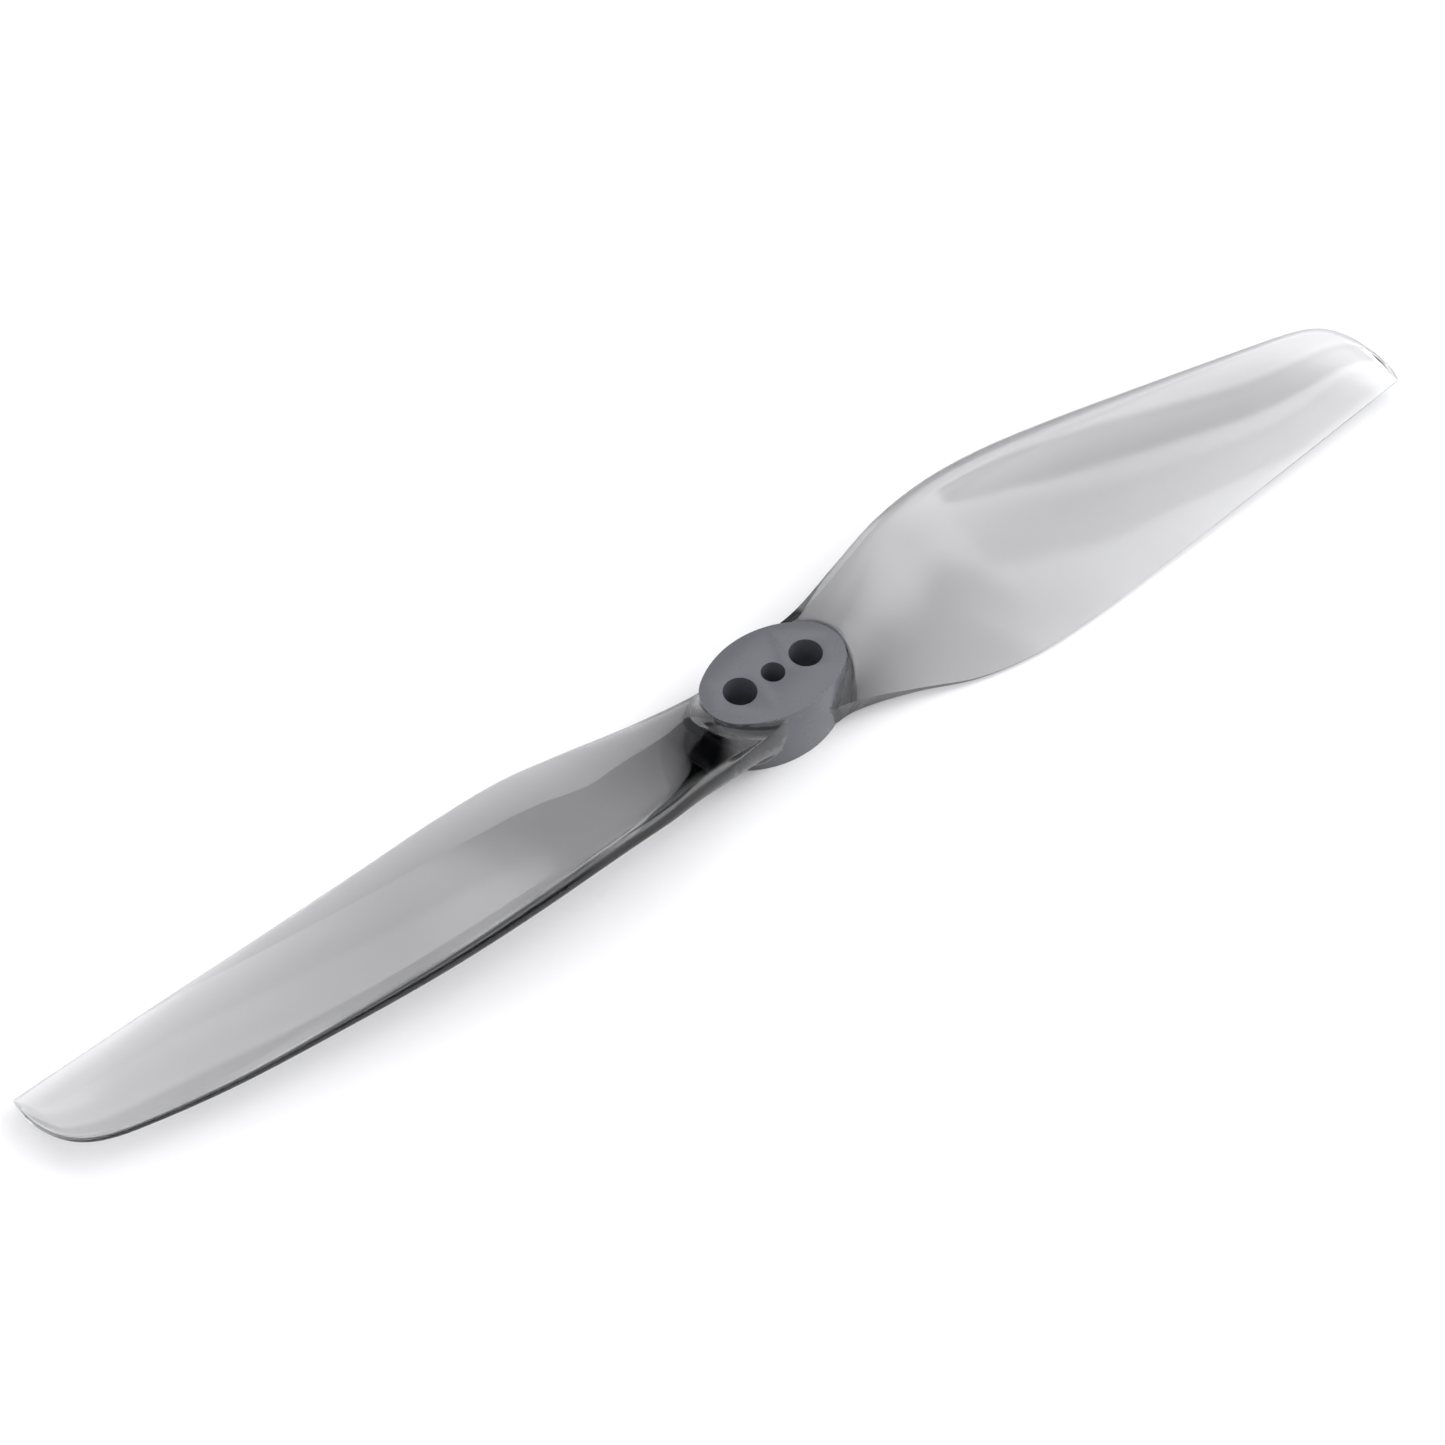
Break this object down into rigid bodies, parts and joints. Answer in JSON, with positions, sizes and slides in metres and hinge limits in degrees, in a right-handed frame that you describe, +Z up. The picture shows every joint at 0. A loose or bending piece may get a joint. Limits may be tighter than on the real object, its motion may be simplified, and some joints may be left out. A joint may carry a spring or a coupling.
{
  "type": "propeller",
  "caption": "Propeller moulded in one piece, with an oval hub, a central shaft hole, screw holes beside it, and opposed, twisted, cambered blades with rounded tips.",
  "frame": {"origin": "centre of the hub's bottom face, on the shaft hole's axis", "axes": "+Z up along the shaft hole towards the screw heads; +X along blade a; blade a leads with its +Y edge"},
  "size_m": [0.1014, 0.0124, 0.0062],
  "materials": {
    "hub_plastic": "satin",
    "blade_plastic": "gloss"
  },
  "bodies": {
    "root": {"hub": "hub_plastic", "blade_a": "blade_plastic", "blade_b": "blade_plastic"}
  },
  "joints": []
}
